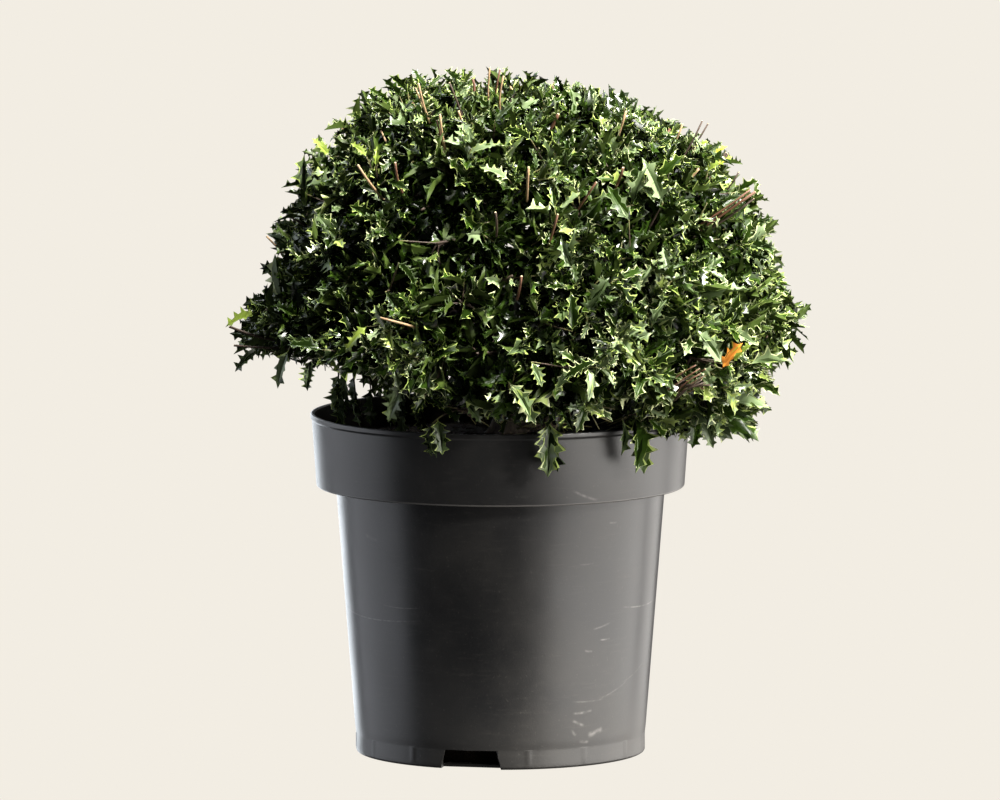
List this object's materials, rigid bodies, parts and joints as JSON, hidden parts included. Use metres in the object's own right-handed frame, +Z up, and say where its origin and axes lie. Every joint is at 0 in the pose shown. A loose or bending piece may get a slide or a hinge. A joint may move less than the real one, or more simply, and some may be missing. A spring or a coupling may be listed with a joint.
{
  "type": "potted goshiki holly olive",
  "caption": "Evergreen shrub with small spiny variegated leaves, clipped to a dome over a short trunk and spreading boughs, growing in soil in a round black pot with a deep collar",
  "frame": {"origin": "the middle of the pot's flat underside, on the ground", "axes": "+Z up; -Y towards the plant's front, as the picture sees it; +X to the right of that view"},
  "size_m": [0.5698, 0.5555, 0.6851],
  "materials": {
    "pot_plastic": "satin",
    "potting_soil": "matte",
    "bark": "matte",
    "foliage": "satin"
  },
  "bodies": {
    "root": {"bough_lower_back_left": "bark", "bough_lower_back_right": "bark", "bough_lower_front": "bark", "bough_lower_front_left": "bark", "bough_lower_front_right": "bark", "bough_lower_left": "bark", "bough_lower_right": "bark", "bough_top": "bark", "bough_upper_back_left": "bark", "bough_upper_back_right": "bark", "bough_upper_front": "bark", "bough_upper_left": "bark", "bough_upper_right": "bark", "foliage_lower_back_left": "foliage", "foliage_lower_back_right": "foliage", "foliage_lower_front": "foliage", "foliage_lower_front_left": "foliage", "foliage_lower_front_right": "foliage", "foliage_lower_left": "foliage", "foliage_lower_right": "foliage", "foliage_top": "foliage", "foliage_upper_back_left": "foliage", "foliage_upper_back_right": "foliage", "foliage_upper_front": "foliage", "foliage_upper_left": "foliage", "foliage_upper_right": "foliage", "pot": "pot_plastic", "soil": "potting_soil", "trunk": "bark"}
  },
  "joints": []
}
